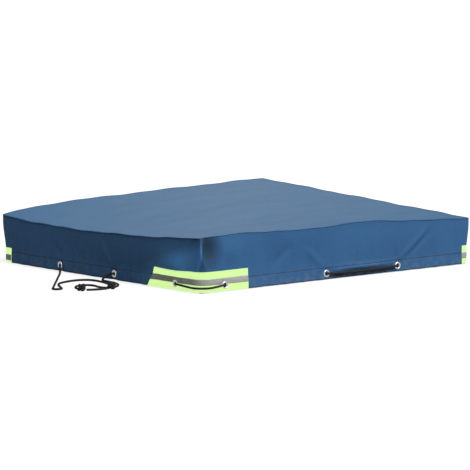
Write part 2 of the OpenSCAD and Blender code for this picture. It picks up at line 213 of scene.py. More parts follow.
tail_b = [
    (-765.4, -280, 4.2), (-788, -280, 4.2), (-812, -275, 4.2), (-838.8, -260.2, 4.2),
]
KNOT_AT = Vector((-0.747, -0.280, 0.0))
TAIL_KNOT_AT = Vector((-0.853, -0.252, 0.0))


def metres(points):
    return [Vector(p) * MM for p in points]


paths = {
    "drawstring": smooth_path(held, 5),
    "cord_end_a": smooth_path([first] + metres(end_a)),
    "cord_end_b": smooth_path([last] + metres(end_b)),
    "tail_a": smooth_path(metres(tail_a)),
    "tail_b": smooth_path(metres(tail_b)),
}
for name, path in paths.items():
    print(name, "is", round(path_length(path), 3), "m long")

# %% [markdown]
# ## Cord as a mesh
# Blender sweeps a round section along a curve for us. We turn the result into a mesh and lay a
# UV map on it, metres along and one turn round, so the braid of the sleeve can follow the cord.

# %% Sweep a cord
def link_piece(name, mesh):
    piece = bpy.data.objects.new(name, mesh)
    bpy.context.scene.collection.objects.link(piece)
    return piece


def sweep(name, path, radius, closed=False, detail=2):
    curve = bpy.data.curves.new(name + "_curve", "CURVE")
    curve.dimensions = "3D"
    curve.twist_mode = "Z_UP"
    curve.bevel_depth = radius
    curve.bevel_resolution = detail
    curve.use_fill_caps = not closed
    spline = curve.splines.new("POLY")
    spline.points.add(len(path) - 1)
    for point, place in zip(spline.points, path):
        point.co = (*place, 1)
    spline.use_cyclic_u = closed
    holder = link_piece(name + "_holder", curve)
    bpy.context.view_layer.update()
    swept = holder.evaluated_get(bpy.context.evaluated_depsgraph_get())
    mesh = bpy.data.meshes.new_from_object(swept)
    bpy.data.objects.remove(holder)
    bpy.data.curves.remove(curve)
    sides = len(mesh.vertices) // len(path)
    along = [0.0]
    for a, b in zip(path, path[1:]):
        along.append(along[-1] + (b - a).length)
    layer = mesh.uv_layers[0] if mesh.uv_layers else mesh.uv_layers.new(name="UVMap")
    for face in mesh.polygons:
        rings = [mesh.loops[i].vertex_index // sides for i in face.loop_indices]
        turns = [mesh.loops[i].vertex_index % sides for i in face.loop_indices]
        wrap = max(turns) - min(turns) > sides / 2
        for i, ring, k in zip(face.loop_indices, rings, turns):
            k = k + sides if wrap and k < sides / 2 else k
            layer.data[i].uv = (along[min(ring, len(along) - 1)], k / sides)
        face.use_smooth = len(face.vertices) < 5
    mesh.name = name
    return link_piece(name, mesh)


cords = {name: sweep(name + "_cord", path, CORD_D / 2) for name, path in paths.items()}
print("cord sides", len(cords["tail_b"].data.vertices) // len(paths["tail_b"]))

# %% [markdown]
# ## Knots
# A pulled tight overhand knot is close to a trefoil: three lobes that pass over and under each
# other. Both knots hold two strands, so each is made of two such loops, one on the other,
# round a plain core that fills the middle.

# %% Tie the knots
def trefoil(centre, size, height, lift, spin):
    path = []
    c, w = math.cos(spin), math.sin(spin)
    for i in range(72):
        t = 2 * math.pi * i / 72
        x = size * (math.sin(t) + 2 * math.sin(2 * t)) / 3
        y = size * (math.cos(t) - 2 * math.cos(2 * t)) / 3
        z = lift - height * math.sin(3 * t)
        path.append(centre + Vector((x * c - y * w, x * w + y * c, z)))
    return path


def knot(name, centre, size):
    loops = []
    for lift, spin, swell in ((0.0083, 0.3, 1.0), (0.0180, 0.95, 0.9)):
        loop = trefoil(centre, size * swell, 0.0041, lift, spin)
        loops.append(sweep(name, loop, CORD_D / 2, closed=True))
    merged = bmesh.new()
    for loop in loops:
        merged.from_mesh(loop.data)
    squeeze = Matrix.Diagonal((size * 0.72, size * 0.72, 0.0105, 1))
    middle = Matrix.Translation(centre + Vector((0, 0, 0.0133)))
    core = middle @ squeeze
    bmesh.ops.create_uvsphere(merged, u_segments=20, v_segments=12, radius=1, matrix=core)
    mesh = bpy.data.meshes.new(name)
    merged.to_mesh(mesh)
    merged.free()
    for loop in loops:
        bpy.data.objects.remove(loop)
    return link_piece(name, mesh)


joining = knot("joining_knot_tied", KNOT_AT, 0.0142)
tail_end = knot("tail_knot_tied", TAIL_KNOT_AT, 0.0122)

# %% Hand the cords over
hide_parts("joining_knot")
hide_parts("tail_knot")
for name, piece in cords.items():
    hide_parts(name)
for piece in list(cords.values()) + [joining, tail_end]:
    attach(piece, "cover")
tied = {"cord_end_a": joining, "cord_end_b": joining, "tail_a": tail_end, "tail_b": tail_end}
for name, end_knot in tied.items():
    path = paths[name]

# %% [markdown]
# ## How the cloth lies
# The hood is cut square, but the cloth is slack. Its edge rises differently at each corner,
# named N front left, R front right, B back right and L back left. The middle is lightly
# crowned, and the cord draws small gathers into the hem. One function gives the outside of
# the hood at any place, so the sides, the hem, the tape and the top all meet without gaps.

# %% Height of the hood
TOP = 0.1628
RISE_N = 0.028
RISE_R = 0.005
RISE_B = 0.064
RISE_L = 0.015
REST = 0.64
CROWN = 0.009


def hump(at, middle, wide):
    return math.exp(-(((at - middle) / wide) ** 2))


def rise(x, y):
    """How far the top stands above TOP: four edge curves, mixed as in a stretched sheet."""
    u = clamp((x + SIDE) / (2 * SIDE))
    v = clamp((y + SIDE) / (2 * SIDE))
    left = RISE_N * max(0, 1 - v / REST) ** 2 + RISE_L * max(0, (v - REST) / (1 - REST)) ** 2
    right_edge = RISE_R + (RISE_B - RISE_R) * v
    front = RISE_N - (RISE_N - RISE_R) * u * u
    front += 0.008 * hump(u, 0.13, 0.09) + 0.011 * hump(u, 0.62, 0.16)
    back = RISE_L + (RISE_B - RISE_L) * u + 0.022 * (1 - math.exp(-u / 0.12)) * (1 - u) ** 0.8
    mix = (1 - u) * (1 - v) * RISE_N + u * (1 - v) * RISE_R + u * v * RISE_B + (1 - u) * v * RISE_L
    return (1 - u) * left + u * right_edge + (1 - v) * front + v * back - mix


def edge_height(f, s):
    p = on_face(f, s, SIDE, 0)
    wave = 0.0012 * math.sin(17 * s + 2 * f) + 0.0008 * math.sin(41 * s + f)
    return TOP + rise(p.x, p.y) + wave * smooth_step((SIDE - abs(s)) / 0.12)


# %% Gathers in the sides: each is a pitch, a phase and a size
GATHERS = [
    [(0.092, 0.4, 1.0), (0.057, 1.9, 0.8), (0.036, 4.2, 0.5), (0.171, 2.2, 1.2)],
    [(0.088, 2.4, 1.0), (0.061, 0.9, 0.8), (0.033, 1.2, 0.5), (0.183, 5.2, 1.2)],
    [(0.097, 3.4, 1.0), (0.053, 2.9, 0.8), (0.038, 0.2, 0.5), (0.164, 0.7, 1.2)],
    [(0.090, 5.0, 1.0), (0.059, 3.9, 0.8), (0.035, 2.2, 0.5), (0.178, 3.2, 1.2)],
]


def near_eyelet(f, s, z):
    """1 at an eyelet, where the metal holds the cloth flat, fading to 0 by 33 mm away."""
    away = min(math.hypot(s - place, z - EYELET_Z) for place, on_tape in EYELETS[f])
    return 1 - smooth_step((away - 0.013) / 0.020)


# %% Dents and folds in the sides
def bump(s, z, at, height, wide, tall):
    return math.exp(-(((s - at) / wide) ** 2) - (((z - height) / tall) ** 2))


def ridge(s, z, start, end, wide):
    """A straight fold from start to end, fading out at both ends."""
    ds, dz = end[0] - start[0], end[1] - start[1]
    size = math.hypot(ds, dz)
    along = ((s - start[0]) * ds + (z - start[1]) * dz) / size**2
    away = abs((s - start[0]) * dz - (z - start[1]) * ds) / size
    return math.exp(-((away / wide) ** 2)) * math.exp(-(((along - 0.5) / 0.45) ** 4))


FRONT_PULL = 0.108
BUMPS = {
    0: [
        (0.0050, -0.480, 0.140, 0.040, 0.040),
        (-0.0120, FRONT_PULL, 0.011, 0.110, 0.011),
        (0.0060, FRONT_PULL, 0.037, 0.115, 0.009),
    ],
    1: [], 2: [], 3: [],
}
FOLDS = {
    0: [
        (0.0045, (0.285, 0.050), (0.400, 0.140), 0.011),
        (-0.0035, (0.310, 0.050), (0.430, 0.140), 0.012),
        (0.0035, (-0.070, 0.050), (-0.150, 0.120), 0.012),
        (-0.0030, (-0.300, 0.070), (-0.210, 0.140), 0.014),
    ],
    1: [], 2: [],
    3: [
        (0.0030, (0.080, 0.050), (0.020, 0.130), 0.012),
        (-0.0030, (-0.220, 0.050), (-0.300, 0.120), 0.014),
    ],
}
FLARE, FLARE_AT, BELLY = 0.0240, 0.470, 0.0050
PINCH, PINCH_AT = 0.0148, -0.587


def grown(z):
    """0 in the hem, 1 near the top seam."""
    return smooth_step((z - HEM_TOP) / 0.11)


def corner_radius(f, s, z):
    """The hood's corners are sharp at the top seam and rounder where the cord pulls them in."""
    corner = f if s < 0 else (f + 1) % 4
    low_radius = LOOSE_CORNER if corner == 0 else 0.017
    return low_radius * (1 - grown(z)) + 0.005 * grown(z)


# %% The sides out of their planes
def left_sway(s, z):
    """The left side flares near its front end and bellies out along the ground."""
    flare = bump(s, z, FLARE_AT, 0.085, 0.120 if s < FLARE_AT else 0.085, 0.055)
    belly = BELLY * clamp((0.060 - z) / 0.06) * math.sin(math.pi * clamp((s + 0.6) / 1.1))
    return FLARE * flare * smooth_step((z - 0.034) / 0.034), belly


def front_pinch(s, z):
    """The front is drawn in beside its left corner."""
    wide = 0.016 if s < PINCH_AT else 0.044
    pinched = PINCH * bump(s, z, PINCH_AT, 0.148, wide, 0.040)
    return pinched * smooth_step((s + SIDE - 0.005) / 0.014)


def drape(f, s, z):
    """How far the side stands out from its plane, in metres."""
    free = smooth_step((SIDE - abs(s) - corner_radius(f, s, z)) / 0.05)
    high = smooth_step((z - HEM_TOP) / 0.10)
    out = 0.0
    for pitch, phase, size in GATHERS[f]:
        bend = 6.0 * (z - HEM_TOP) * math.sin(9 * s + phase)
        low_part = 0.0008 * (1 - 0.85 * high)
        out += size * low_part * math.sin(2 * math.pi * s / pitch + phase + bend)
    out += 0.0016 * math.sin(6.5 * s + 2 * f) * math.sin(math.pi * clamp((z - HEM_TOP) / 0.12))
    out += 0.0016 * (1 - smooth_step((z - HEM_TOP + 0.0025) / 0.0025))
    for size, at, height, wide, tall in BUMPS[f]:
        out += size * bump(s, z, at, height, wide, tall)
    if f == 3:
        flare, belly = left_sway(s, z)
        out += flare
        out += belly
    for size, start, end, wide in FOLDS[f]:
        out += size * ridge(s, z, start, end, wide)
    pinch = front_pinch(s, z) if f == 0 else 0.0
    return (out * free - pinch) * (1 - near_eyelet(f, s, z))


# %% The outside of the hood
def outline(f, share, z, off=0.0):
    """The point of face f at a share of its half length, -1 to 1, at height z."""
    side = SIDE + 0.003 * grown(z)
    s = share * side
    d = side + drape(f, s, z)
    radius = corner_radius(f, s, z)
    to_corner = side - abs(s)
    if to_corner >= radius:
        return on_face(f, s, d + off, z)
    angle = (1 - to_corner / radius) * math.pi / 4
    reach = radius + off
    across = side - radius + reach * math.sin(angle)
    outward = side - radius + reach * math.cos(angle)
    return on_face(f, math.copysign(across, s), outward, z)


def top_edge(f, share, off=0.0):
    return outline(f, share, edge_height(f, share * SIDE), off)


# %% [markdown]
# ## The four sides, each with its hem
# Each side starts as a flat grid. Its rows run down the outside, round under the hem and up
# again inside it, which makes the channel for the cord. Rows are closer in the hem, so the
# eyelet holes can be cut there. Solidify gives the cloth its thickness at the end.

# %% Rows of a side
HEM_INSIDE = 0.5914
ROUND_R = (SIDE - HEM_INSIDE) / 2
ROUND_Z = HEM_LOW + ROUND_R


def side_point(f, share, row):
    """row 0 to 1 down to the hem, to 2 down the hem, to 3 round under it, to 4 up inside."""
    s = share * SIDE
    if row <= 1:
        return outline(f, share, edge_height(f, s) + (HEM_TOP - edge_height(f, s)) * row)
    if row <= 2:
        return outline(f, share, HEM_TOP + (ROUND_Z - HEM_TOP) * (row - 1))
    waves = 1 + math.sin(23 * s + f) * math.sin(61 * s + 2 * f)
    dip = 0.0010 * waves * smooth_step((SIDE - abs(s)) / 0.05)
    low = outline(f, share, ROUND_Z) + Vector((0, 0, dip * clamp(row - 2)))
    inward = on_face(f, 0, -1, 0)
    corner = smooth_step((SIDE - abs(s)) / 0.03)
    if row <= 3:
        angle = (row - 2) * math.pi
        inside = inward * ROUND_R * (1 - math.cos(angle))
        return low + inside * (0.4 + 0.6 * corner) - Vector((0, 0, ROUND_R * math.sin(angle)))
    inside = inward * 2 * ROUND_R
    height = Vector((0, 0, (row - 3) * (HEM_TOP - 0.002 - ROUND_Z)))
    return low + inside * (0.4 + 0.6 * corner) + height


ROWS_IN_PART = [18, 13, 6, 6]
ROW_MARKS = [part + i / rows for part, rows in enumerate(ROWS_IN_PART) for i in range(rows)]
ROW_MARKS.append(4.0)


# %% A grid of cloth
def metre_map(mesh, places):
    """A UV map in metres, from one pair of numbers for each vertex."""
    layer = mesh.uv_layers.new(name="metres")
    for loop in mesh.loops:
        layer.data[loop.index].uv = places[loop.vertex_index]
    for face in mesh.polygons:
        face.use_smooth = True


def cloth(name, columns, rows, place, flat_place, cut_away=None, thick=0.0009):
    """A grid of cloth: place gives each point, cut_away says which faces are cut out."""
    work = bmesh.new()
    bmesh.ops.create_grid(work, x_segments=columns, y_segments=rows, size=0.5)
    spots = [(v.co.x + 0.5, v.co.y + 0.5) for v in work.verts]
    flat = [flat_place(u, w) for u, w in spots]
    for v, (u, w) in zip(work.verts, spots):
        v.co = place(u, w)
    cut = [face for face in work.faces if cut_away and cut_away(face)]
    keep = work.verts.layers.int.new("order")
    for i, v in enumerate(work.verts):
        v[keep] = i
    bmesh.ops.delete(work, geom=cut, context="FACES")
    order = [v[keep] for v in work.verts]
    mesh = bpy.data.meshes.new(name)
    work.to_mesh(mesh)
    work.free()
    metre_map(mesh, [flat[i] for i in order])
    piece = link_piece(name, mesh)
    wall = piece.modifiers.new("thickness", "SOLIDIFY")
    wall.thickness = thick
    wall.offset = -1
    wall.use_rim = True
    return piece


# %% Cut holes for the eyelets
HOLE_R = 0.0102


def eyelet_cut(faces):
    """A test that finds the cloth under the eyelets of some faces of the hood."""
    spots = [on_face(f, s, SIDE, EYELET_Z) for f in faces for s, on_tape in EYELETS[f]]

    def test(face):
        centre = face.calc_center_median()
        for f in faces:
            outward = on_face(f, 0, 1, 0)
            if centre.dot(outward) < SIDE - 0.006:
                continue
            for spot in spots:
                if (centre - spot).cross(outward).length < HOLE_R:
                    return True
        return False

    return test


# %% Sew the four sides
COLUMNS = 300
CLOTH_IN_PART = [0.125, 0.036, 0.018, 0.036]


def row_mark(w):
    """Where a share of all rows lies on the scale that side_point counts in."""
    row = (1 - w) * (len(ROW_MARKS) - 1)
    low = int(min(row, len(ROW_MARKS) - 2))
    return ROW_MARKS[low] + (ROW_MARKS[low + 1] - ROW_MARKS[low]) * (row - low)


def side_flat(u, w):
    mark = row_mark(w)
    down = sum(step * clamp(mark - k) for k, step in enumerate(CLOTH_IN_PART))
    return ((2 * u - 1) * SIDE, -down)


sides = []
for f, face_name in enumerate(FACES):
    def side_place(u, w, f=f):
        return side_point(f, 2 * u - 1, row_mark(w))

    name = face_name + "_side"
    piece = cloth(name, COLUMNS, len(ROW_MARKS) - 1, side_place, side_flat, eyelet_cut([f]))
    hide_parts(face_name + "_skirt", face_name + "_hem")
    sides.append(piece)
    print(piece.name, len(piece.data.polygons), "faces")

# %% [markdown]
# ## The top
# The top panel is filled in between its four edges. A point inside is mixed from the points
# straight across on all four edges, so the border fits the sides exactly, and the crown and
# the shallow slack waves are added only away from the border.

# %% Sew the top
TOP_GRID = 150


def top_place(u, w):
    a, b = 2 * u - 1, 2 * w - 1
    front, back = top_edge(0, a), top_edge(2, -a)
    left, right_point = top_edge(3, -b), top_edge(1, b)
    corners = (1 - u) * (1 - w) * top_edge(0, -1) + u * (1 - w) * top_edge(0, 1)
    corners += (1 - u) * w * top_edge(2, 1) + u * w * top_edge(2, -1)
    p = (1 - w) * front + w * back + (1 - u) * left + u * right_point - corners
    inside = smooth_step((1 - max(abs(a), abs(b))) / 0.22)
    waves = 0.0013 * math.sin(7 * a + 4 * b + 1) + 0.0010 * math.sin(11 * b - 5 * a + 2)
    waves += 0.0006 * math.sin(23 * a + 9 * b) + 0.0005 * math.sin(27 * b - 13 * a)
    p.z += CROWN * math.sin(math.pi * u) * math.sin(math.pi * w) + waves * inside
    return p


def top_flat(u, w):
    return ((2 * u - 1) * SIDE, (2 * w - 1) * SIDE)


top = cloth("top_panel", TOP_GRID, TOP_GRID, top_place, top_flat)
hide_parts("cover_top")
print(top.name, len(top.data.polygons), "faces")

# %% [markdown]
# ## Seams
# The top is sewn to the sides with a narrow folded seam that stands up a little, and the
# sides meet in upright seams at the corners. A thin tube along the join stands for the fold.

# %% Fold the seams
TAPE_DROP = [0.0, 0.004, 0.0, 0.016]
SEAM_FOOT = 0.075
top_line = []
for f in range(4):
    for i in range(120):
        top_line.append(top_edge(f, -1 + 2 * i / 120, 0.0002))
top_seam = sweep("top_seam", top_line, 0.0016, closed=True, detail=1)
corner_seams = []
for f in range(4):
    line = []
    climb = edge_height(f, -SIDE) - SEAM_FOOT + TAPE_DROP[f]
    for i in range(40):
        z = SEAM_FOOT - TAPE_DROP[f] + climb * i / 39
        line.append(outline(f, -1, z, -0.0004))
    corner_seams.append(sweep(CORNERS[f] + "_seam", line, 0.0014, detail=1))

# %% [markdown]
# ## Corner tape
# Bright tape is wrapped round each corner over the hem, with a silver stripe that throws
# light back. It is stitched on, so it follows every gather of the cloth under it. How far it
# reaches along the face and round the corner differs, and two tapes are a little lower. The
# front left tape ends on a slant.

# %% Wrap the corners
REACH = [(0.203, 0.303), (0.475, 0.030), (0.243, 0.260), (0.050, 0.450)]
SLANT = [0.050, 0.0, 0.0, 0.0]
TAPE_LOW, TAPE_HIGH, TAPE_TALL = 0.003, 0.074, 0.071
STRIPE_LOW, STRIPE_HIGH, STRIPE_TALL = 0.028, 0.049, 0.021


def band(name, i, low, high, off, thick):
    """A band round corner i from low to high, standing off the cloth by off."""
    ahead, behind = REACH[i]
    before = (i + 3) % 4
    columns = int((ahead + behind) / 0.004)
    rows = max(6, int((high - low) / 0.003))

    def place(u, w):
        z = low + (high - low) * w
        start = -behind + SLANT[i] * (z - 0.002) / 0.072
        q = start + (ahead - start) * u
        if q < 0:
            return outline(before, 1 + q / SIDE, z, off)
        return outline(i, -1 + q / SIDE, z, off)

    def flat(u, w):
        return (-behind + (ahead + behind) * u, low + (high - low) * w + TAPE_DROP[i])

    return cloth(name, columns, rows, place, flat, eyelet_cut([i, before]), thick)


tapes = []
stripes = []
for i, corner in enumerate(CORNERS):
    drop = TAPE_DROP[i]
    tape = band(corner + "_tape", i, TAPE_LOW, TAPE_HIGH - drop, 0.0011, 0.0008)
    stripe = band(corner + "_silver", i, STRIPE_LOW - drop, STRIPE_HIGH - drop, 0.0019, 0.0006)
    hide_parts(corner + "_patch")
    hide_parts(corner + "_stripe")
    tapes.append(tape)
    stripes.append(stripe)
print(len(tapes), "tapes and", len(stripes), "stripes")

# %% [markdown]
# ## Eyelets
# A metal eyelet is a rolled ring with a short barrel. We draw half of its section and spin it
# once round, then place a copy at each hole.

# %% Spin one eyelet and copy it
EYELET_SECTION = [
    (8.0, -3.0), (8.0, 0.4), (8.5, 1.5), (9.6, 2.2), (10.9, 2.2), (12.2, 1.5), (12.9, 0.4),
    (13.0, -0.4), (12.0, -0.6), (9.0, -0.6), (8.7, -3.0),
]
ON_TAPE, ON_CLOTH = 0.0022, 0.0006


def eyelet_row(f):
    work = bmesh.new()
    for s, on_tape in EYELETS[f]:
        ring = [work.verts.new((r * MM, 0, h * MM)) for r, h in EYELET_SECTION]
        edges = [work.edges.new((ring[k], ring[(k + 1) % len(ring)])) for k in range(len(ring))]
        bmesh.ops.spin(work, geom=ring + edges, cent=(0, 0, 0), axis=(0, 0, 1), dvec=(0, 0, 0),
                       angle=2 * math.pi, steps=48, use_merge=True, use_duplicate=False)
        fresh = [v for v in work.verts if not v.tag]
        base = SIDE + (ON_TAPE if on_tape else ON_CLOTH)
        outward = on_face(f, 0, 1, 0)
        sideways = on_face(f, 1, 0, 0)
        turn_to = Matrix((sideways, Vector((0, 0, 1)), outward)).transposed().to_4x4()
        place = Matrix.Translation(on_face(f, s, base, EYELET_Z)) @ turn_to
        bmesh.ops.transform(work, matrix=place, verts=fresh)
        for v in fresh:
            v.tag = True
    bmesh.ops.remove_doubles(work, verts=work.verts, dist=0.00001)
    bmesh.ops.recalc_face_normals(work, faces=work.faces)
    mesh = bpy.data.meshes.new(FACES[f] + "_rings")
    work.to_mesh(mesh)
    work.free()
    for face in mesh.polygons:
        face.use_smooth = True
    piece = link_piece(FACES[f] + "_rings", mesh)
    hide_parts(FACES[f] + "_eyelets")
    return piece


metal_rings = [eyelet_row(f) for f in range(4)]
print(sum(len(r.data.polygons) for r in metal_rings), "faces in the eyelets")

# %% [markdown]
# ## Ground liner
# A black fleece lies under the sand to keep weeds out. It is cut round the corner posts and
# is never quite flat.

# %% Lay the liner
INNER = 0.5675
POST_EDGE = 0.5225


def liner_place(u, w):
    x, y = (2 * u - 1) * INNER, (2 * w - 1) * INNER
    calm = smooth_step((INNER - max(abs(x), abs(y))) / 0.05)
    z = 0.0014 + calm * 0.0011 * (1 + math.sin(19 * x + 5 * y) * math.sin(13 * y - 4 * x))
    return Vector((x, y, z))


def at_post(face):
    c = face.calc_center_median()
    return abs(c.x) > POST_EDGE and abs(c.y) > POST_EDGE


def liner_flat(u, w):
    return (u * 2 * INNER, w * 2 * INNER)


liner = cloth("liner_fleece", 151, 151, liner_place, liner_flat, at_post, 0.0011)
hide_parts("ground_liner")

# %% [markdown]
# ## Building blocks for the finishes
# Every finish is a small network of nodes. These helpers add a node, set what is fixed and
# join what varies, so each material below reads like a recipe. Effects that several finishes
# share, such as the weave, are node groups with named inputs and outputs.

# %% Helpers for nodes
def join(tree, value, socket):
    if hasattr(value, "is_output"):
        tree.links.new(value, socket)
    else:
        socket.default_value = value


def calc(tree, op, *values):
    node = tree.nodes.new("ShaderNodeMath")
    node.operation = op
    for value, socket in zip(values, node.inputs):
        join(tree, value, socket)
    return node.outputs[0]


def times(tree, a, b):
    return calc(tree, "MULTIPLY", a, b)


def off_from(tree, value, middle):
    return calc(tree, "ABSOLUTE", calc(tree, "SUBTRACT", value, middle))


def apart(tree, vector):
    """The three numbers of a vector, each on its own."""
    node = tree.nodes.new("ShaderNodeSeparateXYZ")
    tree.links.new(vector, node.inputs[0])
    return node.outputs


def mix(tree, share, a, b):
    node = tree.nodes.new("ShaderNodeMix")
    node.data_type = "RGBA"
    join(tree, share, node.inputs[0])
    join(tree, a, node.inputs[6])
    join(tree, b, node.inputs[7])
    return node.outputs[2]


def tint(tree, colour, mask, share, other):
    """Lay another colour over this one, as strongly as a mask times a share."""
    return mix(tree, times(tree, mask, share), colour, other)


def spread(tree, value, low, high, to_low=0.0, to_high=1.0):
    node = tree.nodes.new("ShaderNodeMapRange")
    for k, v in enumerate((value, low, high, to_low, to_high)):
        join(tree, v, node.inputs[k])
    return node.outputs[0]


def grain_noise(tree, vector, scale, detail=3.0, rough=0.55):
    node = tree.nodes.new("ShaderNodeTexNoise")
    join(tree, vector, node.inputs["Vector"])
    join(tree, scale, node.inputs["Scale"])
    node.inputs["Detail"].default_value = detail
    node.inputs["Roughness"].default_value = rough
    return node.outputs["Fac"]


def stretched(tree, vector, scale):
    node = tree.nodes.new("ShaderNodeMapping")
    join(tree, vector, node.inputs["Vector"])
    node.inputs["Scale"].default_value = scale
    return node.outputs[0]


def new_group(name, inputs, outputs):
    group = bpy.data.node_groups.new(name, "ShaderNodeTree")
    for label, kind in inputs:
        group.interface.new_socket(label, in_out="INPUT", socket_type="NodeSocket" + kind)
    for label, kind in outputs:
        group.interface.new_socket(label, in_out="OUTPUT", socket_type="NodeSocket" + kind)
    start = group.nodes.new("NodeGroupInput")
    end = group.nodes.new("NodeGroupOutput")
    return group, start.outputs, end.inputs


def use(tree, group, **values):
    node = tree.nodes.new("ShaderNodeGroup")
    node.node_tree = group
    for label, value in values.items():
        join(tree, value, node.inputs[label])
    return node.outputs


def new_material(name, rough=0.6, metal=0.0):
    material = bpy.data.materials.new(name)
    material.use_nodes = True
    shader = material.node_tree.nodes["Principled BSDF"]
    shader.inputs["Roughness"].default_value = rough
    shader.inputs["Metallic"].default_value = metal
    where = material.node_tree.nodes.new("ShaderNodeTexCoord")
    return material, material.node_tree, shader, where


def relief(tree, shader, height, strength, distance):
    node = tree.nodes.new("ShaderNodeBump")
    node.inputs["Strength"].default_value = strength
    node.inputs["Distance"].default_value = distance
    join(tree, height, node.inputs["Height"])
    tree.links.new(node.outputs[0], shader.inputs["Normal"])


# %% Weave: threads over and under, at a given width
inlets = [("Vector", "Vector"), ("Thread", "Float")]
weave, gi, go = new_group("weave", inlets, [("Height", "Float")])
u, v = apart(weave, gi["Vector"])[:2]
turns = calc(weave, "DIVIDE", math.pi, gi["Thread"])
warp = calc(weave, "SINE", times(weave, u, turns))
weft = calc(weave, "SINE", times(weave, v, turns))
weave.links.new(spread(weave, times(weave, warp, weft), -1, 1), go["Height"])

# %% Stitches: dashes along a line
inlets = [(label, "Float") for label in ("Along", "Across", "Line", "Pitch")]
stitches, gi, go = new_group("stitches", inlets, [("Mask", "Float")])
off_line = off_from(stitches, gi["Across"], gi["Line"])
on_line = calc(stitches, "LESS_THAN", off_line, 0.0007)
part = calc(stitches, "FRACT", calc(stitches, "DIVIDE", gi["Along"], gi["Pitch"]))
dash = calc(stitches, "LESS_THAN", part, 0.72)
stitches.links.new(times(stitches, on_line, dash), go["Mask"])

STITCH_PITCH = 0.0042


def sew(tree, lines, along, across):
    """Where thread shows, along one or more lines."""
    sewn = 0.0
    for line in lines:
        out = use(tree, stitches, Along=along, Across=across, Line=line, Pitch=STITCH_PITCH)
        sewn = calc(tree, "MAXIMUM", sewn, out["Mask"])
    return sewn


# %% Dust: pale dirt that splashes up from the ground
dust, gi, go = new_group("dust", [("Vector", "Vector"), ("Reach", "Float")], [("Mask", "Float")])
low_down = spread(dust, apart(dust, gi["Vector"])[2], 0.0, gi["Reach"], 1.0, 0.0)
patchy = spread(dust, grain_noise(dust, gi["Vector"], 38.0, 5.0), 0.42, 0.75)
dust.links.new(times(dust, low_down, patchy), go["Mask"])

# %% [markdown]
# ## Coated cloth
# The hood is polyester with a thin coating: a fine weave, soft wide shading where it is
# slack, creases and a dull sheen. Its own UV map is in metres, so the threads keep their size
# and the stitches run beside the seams. The top and the sides are one cloth; the top's paler
# blue is painted light, and the top carries painted sheen along one diagonal and painted shade
# at two corners. The shading of the folds that the mesh doesn't show strongly enough is
# painted into the colour of the sides: painted shade along the hem's fold line, in the front
# left dent and in the front crease, and painted light on a fold at the left.

# %% Painted sheen and shade on the top
def painted_sheen_and_shade(tree, wide, u, v):
    """Painted sheen and shade: paler from the front left to the back right,
    darker towards the two other corners.
    """
    aside = calc(tree, "DIVIDE", off_from(tree, u, v), 2 * SIDE)
    sheen_share = calc(tree, "SUBTRACT", 0.95, calc(tree, "POWER", aside, 1.3))
    sheen_share = calc(tree, "MAXIMUM", times(tree, sheen_share, 0.85), 0)
    return calc(tree, "ADD", times(tree, wide, 0.2), sheen_share)


# %% Painted shade and light on the sides
# Painted shade and light on the sides: the hem's fold line, the centre of a dark patch in the front
# left dent, the height of the crease under the front cord, and their colours.
FOLD_LINE = 0.1255
DENT_SHADE_AT = (-0.572, -0.600, 0.112)
CREASE_Z = 0.0150
HEM_GROOVE_SHADE = (0.012, 0.035, 0.085, 1)
DENT_SHADE_BLUE = (0.012, 0.030, 0.052, 1)
LIT_BLUE = (0.072, 0.270, 0.610, 1)
CREASE_SHADE_BLUE = (0.006, 0.016, 0.035, 1)


def painted_side_shading(tree, colour, body, down):
    """Painted shade along the hem's fold line, in the dent at the front left corner and in the
    crease under the front cord, and painted light on a fold at the left.
    """
    # painted shade along the hem's fold line
    line = calc(tree, "ABSOLUTE", calc(tree, "ADD", down, FOLD_LINE))
    colour = mix(tree, spread(tree, line, 0.0006, 0.0030, 0.75, 0.0), colour, HEM_GROOVE_SHADE)
    # painted shade: a dark patch in the dent at the front left corner
    away = tree.nodes.new("ShaderNodeVectorMath")
    away.operation = "DISTANCE"
    tree.links.new(stretched(tree, body, (1.0, 1.0, 0.75)), away.inputs[0])
    away.inputs[1].default_value = DENT_SHADE_AT
    dent_shade = spread(tree, away.outputs["Value"], 0.018, 0.068, 0.80, 0.0)
    colour = mix(tree, dent_shade, colour, DENT_SHADE_BLUE)
    # painted light on a fold of the left side, near the front corner
    x, y, z = apart(tree, body)
    below = calc(tree, "SUBTRACT", calc(tree, "MULTIPLY_ADD", y, -0.32, -0.0036), z)
    fold = times(tree, spread(tree, below, 0.0, 0.045), spread(tree, y, -0.38, -0.20, 1, 0))
    fold = times(tree, fold, spread(tree, x, -0.603, -0.596, 0.85, 0))
    colour = mix(tree, fold, colour, LIT_BLUE)
    # painted shade in the crease under the front's pulled cord
    crease_shade = spread(tree, off_from(tree, z, CREASE_Z), 0.004, 0.010, 0.85, 0)
    in_reach = spread(tree, off_from(tree, x, FRONT_PULL), 0.13, 0.16, 1, 0)
    crease_shade = times(tree, times(tree, crease_shade, in_reach), spread(tree, y, -0.585, -0.575, 1, 0))
    return mix(tree, crease_shade, colour, CREASE_SHADE_BLUE)


# %% The blue cloth of the top and of the sides
def scaled(colour, by):
    return tuple(min(1, c * by) for c in colour[:3]) + (1,)


